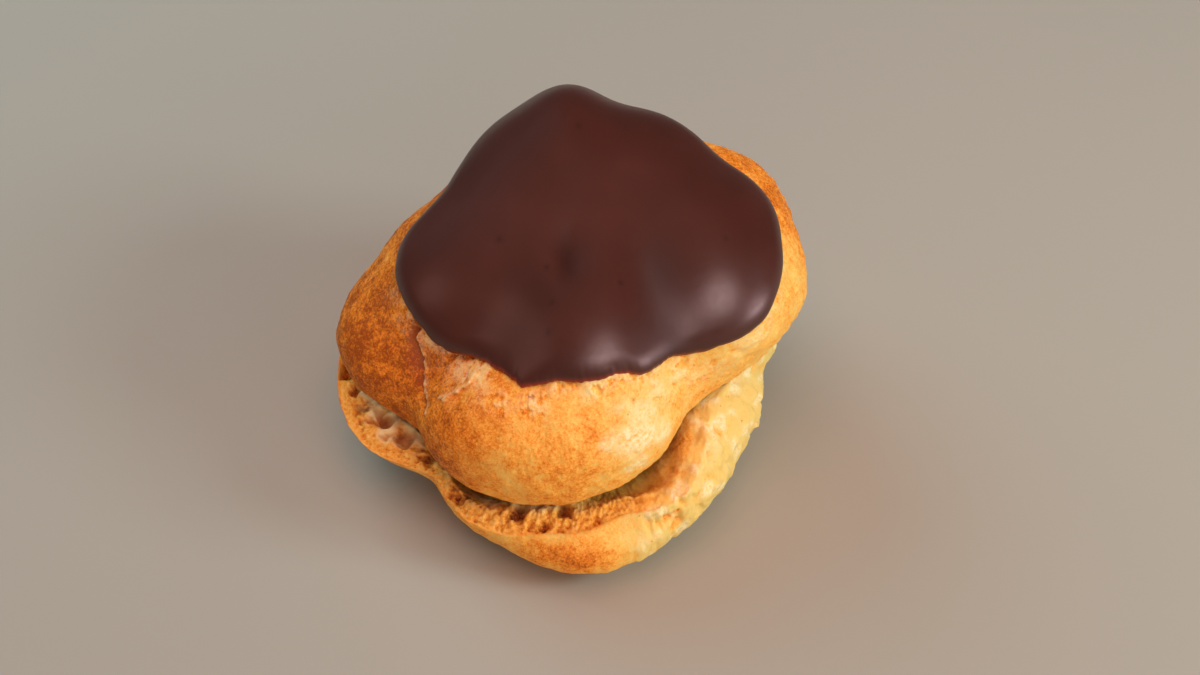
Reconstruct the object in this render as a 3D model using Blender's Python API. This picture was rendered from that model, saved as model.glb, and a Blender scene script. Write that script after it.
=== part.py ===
"""A round eclair: a choux bun cut in two, its iced lid laid back on its base.

+Z is up and -Y faces the viewer. Lengths are in millimetres and become metres as each mesh is made.
Azimuths run from -Y towards +X, and polar angles from straight up.
"""

import math

import bmesh
import bpy
import numpy as np
from mathutils import Vector, noise

METRES = 0.001

# The dough's lobes, each an ellipsoid: name, centre and half widths. They melt into one another.
BASE_LOBES = (
    ("bowl", (1, 3, 12.5), (30.5, 30.5, 13)),
    ("foot", (1, -3, 6), (21, 21, 11)),
    ("right_shoulder", (13.5, -9, 9.5), (17.5, 16.5, 12)),
    ("right_bulge", (23, -5.5, 13), (11.3, 8.5, 8)),
    ("right_front", (14.8, -18, 11), (12, 11.5, 9)),
    ("right_tip", (25, 3, 20), (12, 9, 11)),
    ("left_flare", (-20, -2, 16), (19, 19, 14)),
    ("front", (4, -19.5, 7), (17.5, 16.5, 9)),
    ("front_left", (-7, -19.5, 11), (13, 12.5, 8.5)),
    ("back", (6, 13.5, 18.5), (29.5, 20, 15)),
    ("back_left", (-14, 9, 18), (18.5, 18, 14)),
)
LID_LOBES = (
    ("crown", (1, 9, 24), (24, 22, 22.5)),
    ("right_hump", (24.3, 2, 31.2), (13, 13, 13)),
    ("right_flank", (27, 10, 27), (15, 13, 11.5)),
    ("right_front", (14, -5, 24), (12.5, 10.5, 10)),
    ("upper_right_hump", (22.5, 8.5, 33.5), (14, 11.5, 13.5)),
    ("back_right", (24.5, 19, 30), (15, 14.5, 13)),
    ("back_middle", (13, 20, 35), (13.5, 14, 14)),
    ("back_hump", (1.5, 22.5, 37.5), (9, 14, 15)),
    ("back_left_hump", (-5, 19, 35), (11, 13.5, 13.5)),
    ("left_back", (-10, 12.5, 31.2), (11, 12, 12)),
    ("left_shoulder", (-17, 11, 26), (13.5, 12.5, 12)),
    ("left_hump", (-15, 3, 29), (13, 12.5, 13)),
    ("front_hump", (5, -5.5, 29), (14, 15, 14)),
    ("front_lobe", (-3, -17, 21), (19, 13, 14)),
    ("front_right_lobe", (10, -16.5, 22.5), (7.8, 7.8, 8)),
    ("left_fold", (-21, -6, 19), (6.5, 7.5, 8.5)),
    ("left_lobe", (-26.5, 2.5, 20.5), (12, 13, 10)),
)
BASE_BLEND = 1.6
LID_BLEND = 2.4
BASE_CENTRE = np.array((0.0, 0.0, 11.0))
LID_CENTRE = np.array((0.0, 2.0, 26.0))
FAR = 60.0
MARCH_STEPS = 60
MARCH_SHARE = 0.7
CUT_SEARCH_FROM = math.radians(40)
CUT_SEARCH_STEPS = 30

# Dents in the lid: centre, half widths and depth. The first shows as a small hollow in the icing.
LID_DENTS = (
    ((2.0, 0.0, 42.0), (3.4, 5.5, 8.0), 1.4),
    ((14.5, -4.0, 37.0), (4.5, 9.0, 9.0), 1.0),
    ((-23.0, -10.5, 29.0), (1.6, 2.5, 9.0), 0.8),
)

# The knife's cut rises to the right and to the back. The lid rests on it at the back and gapes at the front.
CUT_HEIGHT = 19.5
CUT_SLOPE_RIGHT = 0.11
CUT_SLOPE_BACK = 0.22
CUT_WAVE = 0.7
CUT_WAVE_RIGHT = 9.0
CUT_WAVE_BACK = 11.0
CUT_PHASE_RIGHT = 1.3
CUT_PHASE_BACK = -0.4
GAP_RESTING = 0.4
GAP_FRONT = 2.2
GAP_STARTS_Y = 5.0
GAP_FULL_Y = -20.0
CRUMB_DEPTH = 0.7
CRUMB_SIZE = 3.0

# Walls, and the width of each half's cut face. The base's is widest at the left and the front right,
# and narrowest at the front left.
BASE_RIM_WIDTH = 5.5
BASE_RIM_SWAY = 1.2
BASE_RIM_THICKER = 2.4
BASE_RIM_THICKEST = math.radians(50)
BASE_RIM_THICKER_SPREAD = 4
BASE_RIM_THINNER = 2.0
BASE_RIM_THINNEST = math.radians(-42)
BASE_RIM_THINNER_SPREAD = 20
BASE_WALL = 5.0
LID_RIM_WIDTH = 4.5
LID_WALL = 5.0
WALL_TURN = 6
FOOT_ROUNDING = 2.0

# The icing, and how many degrees it reaches down from the crown at each azimuth.
ICING_THICKNESS = 1.4
ICING_EDGE_THICKNESS = 0.9
ICING_EDGE_TAPER = 0.12
ICING_GAP = 0.35
ICING_BLEND = 2.8
ICING_REACH = (
    (-170, 59), (-150, 57), (-135, 55), (-122, 55), (-112, 59), (-103, 64), (-92, 67), (-78, 68),
    (-66, 71), (-53, 73), (-42, 69), (-27, 66), (-14, 67), (2, 64), (18, 64), (29, 65),
    (36, 69), (44, 69), (60, 73), (73, 74), (82, 72), (95, 68), (108, 66), (114, 64),
    (121, 61), (136, 60), (152, 60), (170, 60),
)

# The baked skin's unevenness: height and size of its swells and of its lumps.
SWELL_HEIGHT = 0.5
SWELL_SIZE = 12.0
LUMP_HEIGHT = 0.3
LUMP_SIZE = 5.0
SMOOTH_ABOVE_FLOOR = 4.0

SPOKES = 92
QUARTER_SPOKES_WITHIN = 0.1
HALF_SPOKES_WITHIN = 0.24
SKIN_ROWS = 17
RIM_ROWS = 4
HOLLOW_ROWS = 8
ICING_ROWS = 14
ICING_UNDER_ROWS = 13
SHARP_ANGLE = math.radians(50)


def union_distance(points, lobes, blend):
    """How far the points are outside the smooth union of the lobes, about right near its surface."""
    each = []
    for _, centre, radii in lobes:
        scaled = (points - np.array(centre, float)) / radii
        size = np.linalg.norm(scaled, axis=-1)
        slope = np.linalg.norm(scaled / radii, axis=-1)
        each.append(size * (size - 1) / slope)
    each = np.array(each)
    nearest = each.min(0)
    return nearest - blend * np.log(np.exp((nearest - each) / blend).sum(0))


def reach(centre, directions, lobes, blend):
    """Distance from the centre to the union's outermost surface along each direction."""
    distance = np.full(directions.shape[:-1], FAR)
    for _ in range(MARCH_STEPS):
        distance -= MARCH_SHARE * union_distance(centre + distance[..., None] * directions, lobes, blend)
    return distance


def direction(azimuth, polar):
    return np.stack([np.sin(polar) * np.sin(azimuth), -np.sin(polar) * np.cos(azimuth), np.cos(polar)], -1)


def smooth_step(low, high, value):
    share = np.clip((value - low) / (high - low), 0, 1)
    return share * share * (3 - 2 * share)


def bumps(points, size):
    """Smooth noise between about -1 and 1 at each point."""
    values = [noise.noise(Vector(point) / size) for point in points.reshape(-1, 3)]
    return np.array(values).reshape(points.shape[:-1])


def relief(points):
    return SWELL_HEIGHT * bumps(points, SWELL_SIZE) + LUMP_HEIGHT * bumps(points, LUMP_SIZE)


def dents(points):
    depth = np.zeros(points.shape[:-1])
    for centre, half_widths, deepest in LID_DENTS:
        depth += deepest * np.exp(-(((points - np.array(centre)) / half_widths) ** 2).sum(-1))
    return depth


def base_skin(azimuth, polar):
    """Points on the base's outer skin, with a flat foot at height 0."""
    ways = direction(azimuth, polar)
    distance = reach(BASE_CENTRE, ways, BASE_LOBES, BASE_BLEND)
    points = BASE_CENTRE + distance[..., None] * ways
    distance += relief(points) * smooth_step(0, SMOOTH_ABOVE_FLOOR, points[..., 2])
    to_floor = BASE_CENTRE[2] / np.maximum(-ways[..., 2], 1e-6)
    above = np.clip(0.5 + 0.5 * (to_floor - distance) / FOOT_ROUNDING, 0, 1)
    distance = to_floor + (distance - to_floor) * above - FOOT_ROUNDING * above * (1 - above)
    return BASE_CENTRE + distance[..., None] * ways


def lid_skin(azimuth, polar):
    """Points on the lid's outer skin."""
    ways = direction(azimuth, polar)
    distance = reach(LID_CENTRE, ways, LID_LOBES, LID_BLEND)
    points = LID_CENTRE + distance[..., None] * ways
    distance += relief(points) - dents(points)
    return LID_CENTRE + distance[..., None] * ways


def cut_height(points):
    x, y = points[..., 0], points[..., 1]
    wave = np.sin(x / CUT_WAVE_RIGHT + CUT_PHASE_RIGHT) * np.sin(y / CUT_WAVE_BACK + CUT_PHASE_BACK)
    return CUT_HEIGHT + CUT_SLOPE_RIGHT * x + CUT_SLOPE_BACK * y + CUT_WAVE * wave


def lid_underside_height(points):
    openness = np.clip((GAP_STARTS_Y - points[..., 1]) / (GAP_STARTS_Y - GAP_FULL_Y), 0, 1)
    return cut_height(points) + GAP_RESTING + (GAP_FRONT - GAP_RESTING) * openness**2


def cut_polar(skin, height, azimuth, pole):
    """The polar angle at which the skin meets the cut, seen from straight up or straight down."""
    kept = np.abs(np.full(azimuth.shape, pole) - CUT_SEARCH_FROM)
    lost = math.pi - kept
    side = math.copysign(1, math.pi / 2 - pole)
    for _ in range(CUT_SEARCH_STEPS):
        middle = (kept + lost) / 2
        points = skin(azimuth, middle)
        still_kept = (points[..., 2] - height(points)) * side > 0
        kept = np.where(still_kept, middle, kept)
        lost = np.where(still_kept, lost, middle)
    return kept


def spokes_at(share):
    """Fewer spokes near a pole."""
    if share < QUARTER_SPOKES_WITHIN:
        return SPOKES // 4
    return SPOKES // 2 if share < HALF_SPOKES_WITHIN else SPOKES


def azimuths(count):
    return np.arange(count) * 2 * math.pi / count


def crumb(points, height, pole):
    """Puts points on the cut, then roughens it into the dough that lies towards the pole."""
    rough = points.copy()
    rough[:, 2] = height(points)
    torn = CRUMB_DEPTH * np.abs(bumps(rough, CRUMB_SIZE))
    rough[:, 2] += torn * math.copysign(1, math.pi / 2 - pole)
    return rough


def half_rows(skin, height, pole, centre, rim_width, wall):
    """Rings of one half of the bun: outer pole, skin, cut face, hollow, inner pole."""
    rows = [skin(np.zeros(1), np.full(1, pole))]
    around = azimuths(SPOKES)
    end = cut_polar(skin, height, around, pole)
    for share in (np.arange(SKIN_ROWS) + 1) / SKIN_ROWS:
        step = SPOKES // spokes_at(share)
        rows.append(skin(around[::step], pole + (end[::step] - pole) * share))
    edge = rows.pop()
    rows.append(crumb(edge, height, pole))
    inward = centre[:2] - edge[:, :2]
    inward /= np.linalg.norm(inward, axis=1)[:, None]
    for share in (np.arange(RIM_ROWS) + 1) / RIM_ROWS:
        ring = edge.copy()
        ring[:, :2] += inward * (rim_width(around) * share)[:, None]
        rows.append(crumb(ring, height, pole))
    lip = rows[-1] - centre
    lip_distance = np.linalg.norm(lip, axis=1)
    lip_polar = np.arccos(lip[:, 2] / lip_distance)
    lip_wall = np.linalg.norm(skin(around, lip_polar) - centre, axis=1) - lip_distance
    for share in 1 - (np.arange(HOLLOW_ROWS) + 1) / (HOLLOW_ROWS + 1):
        step = SPOKES // spokes_at(share)
        outer = skin(around[::step], pole + (lip_polar[::step] - pole) * share) - centre
        distance = np.linalg.norm(outer, axis=1)
        thickness = wall + (lip_wall[::step] - wall) * share**WALL_TURN
        rows.append(centre + outer * ((distance - thickness) / distance)[:, None])
    outer = rows[0] - centre
    rows.append(centre + outer * (1 - wall / np.linalg.norm(outer)))
    return rows


def around_azimuth(azimuth, middle, spread):
    """1 at the middle azimuth, falling to 0 on both sides, the sooner the higher the spread."""
    return np.clip(np.cos(azimuth - middle), 0, 1) ** spread


def base_rim_width(azimuth):
    thicker = BASE_RIM_THICKER * around_azimuth(azimuth, BASE_RIM_THICKEST, BASE_RIM_THICKER_SPREAD)
    thinner = BASE_RIM_THINNER * around_azimuth(azimuth, BASE_RIM_THINNEST, BASE_RIM_THINNER_SPREAD)
    return BASE_RIM_WIDTH - BASE_RIM_SWAY * np.sin(azimuth) + thicker - thinner


def lid_rim_width(azimuth):
    return np.full(azimuth.shape, LID_RIM_WIDTH)


def icing_reach(azimuth):
    """The icing's reach in radians: a smooth closed curve through its table."""
    knots, reaches = np.radians(ICING_REACH).T
    knots = np.concatenate([knots - 2 * math.pi, knots, knots + 2 * math.pi])
    reaches = np.tile(reaches, 3)
    slopes = np.gradient(reaches, knots)
    before = np.searchsorted(knots, azimuth) - 1
    width = knots[before + 1] - knots[before]
    share = (azimuth - knots[before]) / width
    weight = share**2 * (3 - 2 * share)
    return (
        (1 - weight) * reaches[before]
        + weight * reaches[before + 1]
        + share * (1 - share) ** 2 * width * slopes[before]
        - share**2 * (1 - share) * width * slopes[before + 1]
    )


def icing_ring(share, count, outside):
    """A ring of the icing's outer face or underside, at a share of its reach."""
    around = azimuths(count)
    polar = icing_reach(around) * share
    ways = direction(around, polar)
    crust = np.linalg.norm(lid_skin(around, polar) - LID_CENTRE, axis=-1)
    under = crust + ICING_GAP
    if not outside:
        return LID_CENTRE + under[:, None] * ways
    smooth = reach(LID_CENTRE, ways, LID_LOBES, ICING_BLEND)
    smooth -= dents(LID_CENTRE + smooth[:, None] * ways)
    full = np.maximum(smooth, crust) + ICING_GAP + ICING_THICKNESS
    inland = smooth_step(0, ICING_EDGE_TAPER, 1 - share)
    outer = (under + ICING_EDGE_THICKNESS) * (1 - inland) + full * inland
    return LID_CENTRE + outer[:, None] * ways


def icing_rows():
    """Rings of the icing: crown, outer face, edge, underside, pole under the crown."""
    rows = [icing_ring(0, 1, True)]
    for share in (np.arange(ICING_ROWS) + 1) / ICING_ROWS:
        rows.append(icing_ring(share, spokes_at(share), True))
    for share in 1 - np.arange(ICING_UNDER_ROWS) / ICING_UNDER_ROWS:
        rows.append(icing_ring(share, spokes_at(share), False))
    rows.append(icing_ring(0, 1, False))
    return rows


def ring_faces(first, first_count, second, second_count):
    """Faces between two rings of vertices, of which one may be a pole or have twice the other's spokes."""
    if first_count > second_count:
        return [face[::-1] for face in ring_faces(second, second_count, first, first_count)]
    faces = []
    for i in range(second_count):
        here = second + i
        after = second + (i + 1) % second_count
        if first_count == 1:
            faces.append((first, after, here))
        elif first_count == second_count:
            faces.append((first + i, first + (i + 1) % first_count, after, here))
        else:
            beyond = first + (i // 2 + 1) % first_count
            if i % 2 == 0:
                faces.append((first + i // 2, after, here))
                faces.append((first + i // 2, beyond, after))
            else:
                faces.append((beyond, after, here))
    return faces


def add_solid(name, rows, material):
    """One closed solid through the rings."""
    starts = np.cumsum([0] + [len(row) for row in rows])
    faces = []
    for i in range(len(rows) - 1):
        faces += ring_faces(starts[i], len(rows[i]), starts[i + 1], len(rows[i + 1]))
    mesh = bpy.data.meshes.new(name)
    mesh.from_pydata((np.concatenate(rows) * METRES).tolist(), [], faces)
    shape = bmesh.new()
    shape.from_mesh(mesh)
    bmesh.ops.recalc_face_normals(shape, faces=shape.faces)
    shape.to_mesh(mesh)
    shape.free()
    mesh.shade_smooth()
    mesh.set_sharp_from_angle(angle=SHARP_ANGLE)
    mesh.materials.append(material)
    solid = bpy.data.objects.new(name, mesh)
    bpy.context.scene.collection.objects.link(solid)


def surface(name, colour, roughness):
    material = bpy.data.materials.new(name)
    material.use_nodes = True
    shader = material.node_tree.nodes["Principled BSDF"]
    shader.inputs["Base Color"].default_value = (*colour, 1)
    shader.inputs["Roughness"].default_value = roughness
    shader.inputs["Metallic"].default_value = 0
    return material


def rings():
    return {
        "base": half_rows(base_skin, cut_height, math.pi, BASE_CENTRE, base_rim_width, BASE_WALL),
        "lid": half_rows(lid_skin, lid_underside_height, 0, LID_CENTRE, lid_rim_width, LID_WALL),
        "icing": icing_rows(),
    }


def middle_of(solids):
    """The middle of everything seen from above, at floor height."""
    every = np.concatenate([row for rows in solids.values() for row in rows])
    middle = (every.min(0) + every.max(0)) / 2
    middle[2] = 0
    return middle


def main():
    for old in list(bpy.data.objects):
        bpy.data.objects.remove(old)
    surfaces = {
        "base": surface("base_crust", (0.72, 0.38, 0.11), 0.6),
        "lid": surface("lid_crust", (0.68, 0.30, 0.08), 0.55),
        "icing": surface("dark_icing", (0.055, 0.024, 0.02), 0.3),
    }
    solids = rings()
    middle = middle_of(solids)
    for name, rows in solids.items():
        add_solid(name, [row - middle for row in rows], surfaces[name])


main()
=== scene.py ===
"""The looks of the round eclair: its two choux halves and its icing in fine relief, on a plain pale floor.

Lengths are millimetres in the drawing frame that the part's lobes are given in, and turn into metres
in the part's own frame as each mesh is made. Azimuths run from -Y towards +X, polar angles from
straight up. Points are shifted before a noise is read where it mustn't match another.
"""
import math

import bmesh
import bpy
import numpy as np
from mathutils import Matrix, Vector, noise


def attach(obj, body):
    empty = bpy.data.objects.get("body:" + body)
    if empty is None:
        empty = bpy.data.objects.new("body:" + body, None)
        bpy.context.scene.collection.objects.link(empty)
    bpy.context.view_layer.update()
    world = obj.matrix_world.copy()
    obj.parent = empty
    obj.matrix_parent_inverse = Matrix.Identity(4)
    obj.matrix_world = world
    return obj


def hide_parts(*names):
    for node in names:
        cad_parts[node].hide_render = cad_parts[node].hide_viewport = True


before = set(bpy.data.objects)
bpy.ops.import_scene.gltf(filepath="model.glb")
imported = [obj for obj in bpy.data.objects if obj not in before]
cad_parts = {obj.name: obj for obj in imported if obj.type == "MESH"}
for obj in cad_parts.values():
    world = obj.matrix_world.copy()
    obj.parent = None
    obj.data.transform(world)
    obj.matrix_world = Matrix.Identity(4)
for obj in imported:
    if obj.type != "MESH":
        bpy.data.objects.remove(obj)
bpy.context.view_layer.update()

# Blender's vector noise takes its seed from the clock unless one is set.
NOISE_SEED = 7
noise.seed_set(NOISE_SEED)

METRES = 0.001
# The origin of the part's own frame in the drawing frame: the middle of the part, on the floor.
SHIFT = np.array((1.726, 0.213, 0.0))

# The dough's lobes, each an ellipsoid: centre and half widths. They melt into one another.
BASE_LOBES = (
    ((1, 3, 12.5), (30.5, 30.5, 13)),
    ((1, -3, 6), (21, 21, 11)),
    ((13.5, -9, 9.5), (17.5, 16.5, 12)),
    ((23, -5.5, 13), (11.3, 8.5, 8)),
    ((14.8, -18, 11), (12, 11.5, 9)),
    ((25, 3, 20), (12, 9, 11)),
    ((-20, -2, 16), (19, 19, 14)),
    ((4, -19.5, 7), (17.5, 16.5, 9)),
    ((-7, -19.5, 11), (13, 12.5, 8.5)),
    ((6, 13.5, 18.5), (29.5, 20, 15)),
    ((-14, 9, 18), (18.5, 18, 14)),
)
LID_LOBES = (
    ((1, 9, 24), (24, 22, 22.5)),
    ((24.3, 2, 31.2), (13, 13, 13)),
    ((27, 10, 27), (15, 13, 11.5)),
    ((14, -5, 24), (12.5, 10.5, 10)),
    ((22.5, 8.5, 33.5), (14, 11.5, 13.5)),
    ((24.5, 19, 30), (15, 14.5, 13)),
    ((13, 20, 35), (13.5, 14, 14)),
    ((1.5, 22.5, 37.5), (9, 14, 15)),
    ((-5, 19, 35), (11, 13.5, 13.5)),
    ((-10, 12.5, 31.2), (11, 12, 12)),
    ((-17, 11, 26), (13.5, 12.5, 12)),
    ((-15, 3, 29), (13, 12.5, 13)),
    ((5, -5.5, 29), (14, 15, 14)),
    ((-3, -17, 21), (19, 13, 14)),
    ((10, -16.5, 22.5), (7.8, 7.8, 8)),
    ((-21, -6, 19), (6.5, 7.5, 8.5)),
    ((-26.5, 2.5, 20.5), (12, 13, 10)),
)
# How softly each half's lobes melt together, and the place inside it that its rays start from.
BASE_BLEND = 1.6
LID_BLEND = 2.4
BASE_CENTRE = np.array((0.0, 0.0, 11.0))
LID_CENTRE = np.array((0.0, 2.0, 26.0))
# Along each ray the surface is found from far outside, by steps of a share of the way that is left.
FAR = 60.0
MARCH_STEPS = 44
MARCH_SHARE = 0.7
# The cut is looked for beyond this angle from both poles, by halving.
CUT_SEARCH_FROM = math.radians(40)
CUT_SEARCH_STEPS = 24

# Dents in the lid: centre, half widths and depth.
LID_DENTS = (
    ((2.0, 0.0, 42.0), (3.4, 5.5, 8.0), 1.4),
    ((14.5, -4.0, 37.0), (4.5, 9.0, 9.0), 1.0),
    ((-23.0, -10.5, 29.0), (1.6, 2.5, 9.0), 0.8),
)

# The knife's cut rises to the right and to the back. The lid rests on it at the back and gapes at the front.
CUT_HEIGHT = 19.5
CUT_SLOPE_RIGHT = 0.11
CUT_SLOPE_BACK = 0.22
CUT_WAVE = 0.7
CUT_WAVE_RIGHT = 9.0
CUT_WAVE_BACK = 11.0
CUT_PHASE_RIGHT = 1.3
CUT_PHASE_BACK = -0.4
GAP_RESTING = 0.4
GAP_FRONT = 2.2
GAP_STARTS_Y = 5.0
GAP_FULL_Y = -20.0

# The cut face's width. The base's is widest at the left and front right, and narrowest at the front left.
BASE_RIM_WIDTH = 5.5
BASE_RIM_SWAY = 1.2
BASE_RIM_THICKER = 2.4
BASE_RIM_THICKEST = math.radians(50)
BASE_RIM_THICKER_SPREAD = 4
BASE_RIM_THINNER = 2.0
BASE_RIM_THINNEST = math.radians(-42)
BASE_RIM_THINNER_SPREAD = 20
LID_RIM_WIDTH = 4.5
# The wall's thickness deep in each hollow, and how sharply the lip's takes over from it. Torn membranes
# make the wall slope more gently at the front, which is turned a little to the left.
BASE_WALL = 5.0
LID_WALL = 5.0
WALL_TURN = 6
SHELF_TURN = 2.2
SHELF_TURNED = 0.3
# Moist membranes line the base's rim: one reaches inwards at the left, and one is at the front left.
MEMBRANE_REACH = 3.0
MEMBRANE_AT = math.radians(-72)
MEMBRANE_SPREAD = 12
MEMBRANE_FRONT_AT = math.radians(-18)
MEMBRANE_FRONT_SPREAD = 24
MEMBRANE_FRONT_SHARE = 0.9
# The front crumb stands up towards the lid.
CRUMB_LIFT = 1.2
CRUMB_LIFT_AT = math.radians(-7)
CRUMB_LIFT_SPREAD = 16
# At the front right the rim's inner part is a smooth, sunken ledge, and at the front left a sunken cleft; both
# are painted darker as shade.
LEDGE_SUNK = 1.8
LEDGE_REACH = 3.0
LEDGE_AT = math.radians(26)
LEDGE_SPREAD = 22
CLEFT_AT = math.radians(-40)
CLEFT_SPREAD = 26
# How many neighbours on each side even out the lip and the rim's inner edge.
LIP_SMOOTHING = 8
# Between these places from left to right, the cut turns from crumbly to nearly smooth.
SMOOTH_RIM_X = (9.0, 20.0)
FOOT_ROUNDING = 2.0

# The icing, and how many degrees it reaches down from the crown at each azimuth.
ICING_THICKNESS = 1.4
ICING_GAP = 0.35
ICING_BLEND = 2.8
ICING_REACH = (
    (-170, 59), (-150, 57), (-135, 55), (-122, 55), (-112, 59), (-103, 64), (-92, 67), (-78, 68),
    (-66, 71), (-53, 73), (-42, 69), (-27, 66), (-14, 67), (2, 64), (18, 64), (29, 65),
    (36, 69), (44, 69), (60, 73), (73, 74), (82, 72), (95, 68), (108, 66), (114, 64),
    (121, 61), (136, 60), (152, 60), (170, 60),
)
ICING_SUNK = 0.08
ICING_EDGE_WIDTH = 4.0
ICING_THIN_WITHIN = 1.5
# The icing's own dent: the dimple near its middle.
ICING_DENTS = (((2.1, -1.5, 46.2), (2.0, 4.0, 6.0), 0.3),)
# Where the icing is duller and painted darker as shade: the valley's two ends.
ICING_DULL_SHADE = (
    ((16.5, -5.5, 45.0), (3.4, 6.5, 7.0), 0.8),
    ((18.5, -13.0, 40.0), (3.0, 5.0, 6.0), 0.8),
)
# Where only painted shade darkens it: the dimple and the pinholes.
PINHOLE = (0.5, 0.5, 2.0)
ICING_PAINTED_SHADE = (
    ((1.6, -2.0, 46.0), (1.7, 4.2, 6.0), 1.0),
    ((3.5, 19.5, 53.8), PINHOLE, 0.9),
    ((-9.2, 1.2, 46.9), PINHOLE, 0.9),
    ((-1.5, -3.9, 46.2), PINHOLE, 0.9),
    ((10.3, -6.5, 45.1), PINHOLE, 1.0),
    ((-1.2, -14.0, 42.1), PINHOLE, 0.9),
    ((27.1, 0.9, 47.2), PINHOLE, 0.9),
    ((-0.6, -9.7, 44.3), PINHOLE, 0.8),
)
# Waves in the icing's edge, as height in radians and size: one all round, and two finer ones in front.
ICING_WAVES = (0.010, 0.22)
ICING_FRONT_WAVES = (0.016, 0.08)
ICING_FINE_WAVES = (0.008, 0.03)
ICING_WAVES_POLAR = 1.2
# The higher the power, the closer to the edge the waves stay.
ICING_RAGGED_POWER = 16
# Where the front fades in, which is turned a little to the left.
ICING_FRONT_FADE = (-0.35, 0.5)
ICING_FRONT_TURNED = 0.25
# Rings of the icing's outer face, which crowd towards its edge, and of its underside.
ICING_ROWS = 110
ICING_ROW_CROWDING = 1.6
ICING_UNDER_ROWS = 24

# The baked skin's unevenness: height and size of its swells, lumps, knobs, wrinkles, grain and blisters.
SWELL_HEIGHT = 0.5
SWELL_SIZE = 12.0
LUMP_HEIGHT = 0.3
LUMP_SIZE = 5.0
SMOOTH_ABOVE_FLOOR = 4.0
PLAIN_ABOVE_FLOOR = 3.0
KNOB_HEIGHT = 0.17
KNOB_SIZE = 2.3
WRINKLE_HEIGHT = 0.10
WRINKLE_SIZE = 1.3
GRAIN_HEIGHT = 0.035
GRAIN_SIZE = 0.5
BLISTER_HEIGHT = 0.09
BLISTER_SIZE = 1.0
# How far below the icing the skin is flaky, and where that reaches further down.
FLAKY_WITHIN = 3.6
FLAKY_WIDER = 4.0
FLAKY_WIDEST = math.radians(42)
FLAKY_WIDER_SPREAD = 16
# The lumpy skin at the right: where it begins on each half, how wide its border is and its loss at the back.
BASE_LUMPY_FROM_X = 9.0
LID_LUMPY_FROM_X = 22.0
LID_LUMPY_SHARE = 0.5
LUMPY_BORDER = 10
LUMPY_LOST_BACK = (0.6, 0, 20)
# Floury patches on the base's pale right side.
FLOURY = 0.8
FLOURY_SIZE = 2.3
FLOURY_EDGE = (0.05, 0.45)

# Browning, partly painted shade, from about 0 for pale to 1 for dark: the plain share, and changes as (amount,
# from, to).
BASE_BAKED = 0.36
BASE_BROWNER_BACK = (0.22, 0, 20)
# Partly painted shade: browner towards the left, the side away from the key lamp.
BASE_BROWNER_LEFT = (0.16, 0, -30)
BASE_BROWNER_LOW = (0.12, 12, 0)
BASE_PALER_RIGHT = (0.26, 2, 22)
LID_BAKED = 0.45
# Partly painted shade: browner towards the left, the side away from the key lamp.
LID_BROWNER_LEFT = (0.45, -6, -24)
LID_PALER_RIGHT = (0.12, -2, 20)
# Partly painted shade: browner towards the back band below the icing.
LID_BROWNER_BACK = (0.38, 6, 18)
# The lid's browning stays below this before its marks are added.
MOST_BAKED = 0.86

# The noises' own numbers. Relief made from creases is measured from their mean.
CREASE_GAIN = 1.4
CREASE_MEAN = 0.6
CELL_WARP = 0.35
CELL_WARP_SCALE = 1.3
CELL_NUMBER_MEAN = 0.5
CELL_NUMBER_GAIN = 0.9
CELL_NUMBER_SCALE = 5.3
PORE_WALL = (0.06, 0.5)
GRANULE_RADIUS = 0.75
GRANULE_LEAST = 0.4
GRANULE_GAIN = 0.8
# The roughness of tears, how much finer each of their steps is than the last, and the number of steps.
TEAR_STEPS = (0.8, 2.0, 4)

# How finely each piece is meshed. Spokes stand closer together at the front, which the photo shows.
SPOKES = 640
FRONT_CROWDING = 0.42
QUARTER_SPOKES_WITHIN = 0.1
HALF_SPOKES_WITHIN = 0.3

# The camera's place in the drawing frame, and how far it is turned up from looking straight down.
CAMERA_PLACE = np.array((6.950, -175.740, 247.72))
CAMERA_TILT = math.radians(38)


def union_distance(points, lobes, blend):
    """How far the points are outside the smooth union of the lobes, about right near its surface."""
    each = []
    for centre, radii in lobes:
        scaled = (points - np.array(centre, float)) / radii
        size = np.linalg.norm(scaled, axis=-1)
        slope = np.linalg.norm(scaled / radii, axis=-1)
        each.append(size * (size - 1) / slope)
    each = np.array(each)
    nearest = each.min(0)
    return nearest - blend * np.log(np.exp((nearest - each) / blend).sum(0))


def reach(centre, directions, lobes, blend):
    """Distance from the centre to the union's outermost surface along each direction."""
    distance = np.full(directions.shape[:-1], FAR)
    for _ in range(MARCH_STEPS):
        distance -= MARCH_SHARE * union_distance(centre + distance[..., None] * directions, lobes, blend)
    return distance


def direction(azimuth, polar):
    """The unit vector at each azimuth and polar angle."""
    return np.stack([np.sin(polar) * np.sin(azimuth), -np.sin(polar) * np.cos(azimuth), np.cos(polar)], -1)


def wrapped(azimuth):
    """The same azimuth between -pi and pi."""
    return np.mod(azimuth + math.pi, 2 * math.pi) - math.pi


def around_azimuth(azimuth, middle, spread):
    """1 at the middle azimuth, falling to 0 on both sides, the sooner the higher the spread."""
    return np.clip(np.cos(azimuth - middle), 0, 1) ** spread


def smooth_step(start, end, value):
    """0 at the start and 1 at the end, which may be the lower one, and a smooth step between."""
    share = np.clip((value - start) / (end - start), 0, 1)
    return share * share * (3 - 2 * share)


def change(amount, start, end, value):
    """Nothing at the start and the full amount at the end, and a smooth step between."""
    return amount * smooth_step(start, end, value)


def bumps(points, size):
    """Smooth noise between about -1 and 1 at each point."""
    values = [noise.noise(Vector(point) / size) for point in points.reshape(-1, 3)]
    return np.array(values).reshape(points.shape[:-1])


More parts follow.
